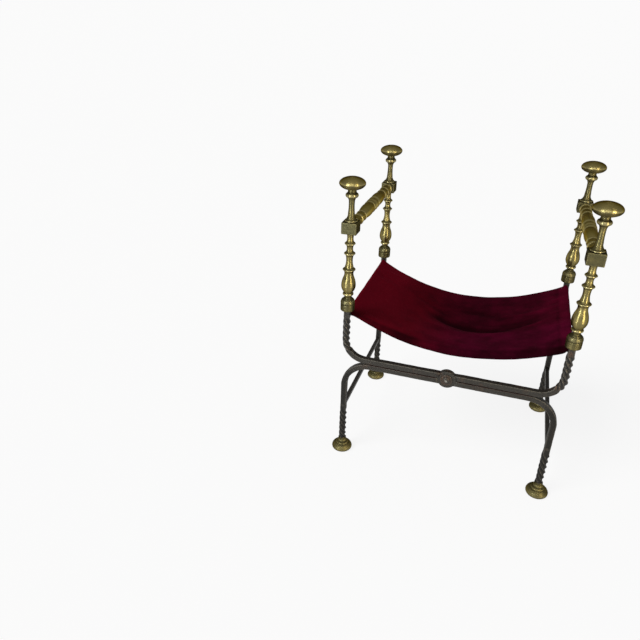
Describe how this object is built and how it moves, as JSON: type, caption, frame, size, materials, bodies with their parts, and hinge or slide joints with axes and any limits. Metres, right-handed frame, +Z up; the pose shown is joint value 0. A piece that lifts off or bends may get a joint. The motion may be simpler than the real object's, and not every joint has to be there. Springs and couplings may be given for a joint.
{
  "type": "savonarola chair",
  "caption": "Folding scissor-frame armchair with twisted iron bars, turned brass posts and arm rails, and a velvet sling seat.",
  "frame": {"origin": "on the floor, under the middle of the chair", "axes": "+X from the left arm to the right arm as seen from the front, +Y from the front to the rear, +Z up from the floor"},
  "size_m": [0.607, 0.465, 0.7934],
  "materials": {
    "iron": "wrought iron, worn dark brown with a little rust, stretches twisted like a rope",
    "brass": "turned brass, aged, with dark recesses and rubbed high spots",
    "velvet": "deep burgundy velvet, crushed and shaded by use"
  },
  "bodies": {
    "left_frame": {"arm_rail_left": "brass", "baluster_front_left": "brass", "baluster_rear_left": "brass", "block_front_left": "brass", "block_rear_left": "brass", "column_front_left": "brass", "column_rear_left": "brass", "cross_bar_left_front": "iron", "cross_bar_left_rear": "iron", "foot_front_right": "brass", "foot_rear_right": "brass", "knob_front_left": "brass", "knob_rear_left": "brass", "pivot_rivet_front": "iron", "pivot_rivet_rear": "iron", "pivot_washers_front": "iron", "pivot_washers_rear": "iron", "seat_rod_left": "iron", "seat_sling": "velvet", "side_stretcher_right": "iron", "socket_front_left": "brass", "socket_rear_left": "brass"},
    "right_frame": {"arm_rail_right": "brass", "baluster_front_right": "brass", "baluster_rear_right": "brass", "block_front_right": "brass", "block_rear_right": "brass", "column_front_right": "brass", "column_rear_right": "brass", "cross_bar_right_front": "iron", "cross_bar_right_rear": "iron", "foot_front_left": "brass", "foot_rear_left": "brass", "knob_front_right": "brass", "knob_rear_right": "brass", "seat_rod_right": "iron", "side_stretcher_left": "iron", "socket_front_right": "brass", "socket_rear_right": "brass"}
  },
  "joints": [
    {"name": "fold", "type": "hinge", "parent": "left_frame", "child": "right_frame", "pos_m": [0, 0, 0.301], "axis": [0, -1, 0], "range_deg": [0, 53.2], "deforming": ["seat_sling"]}
  ]
}
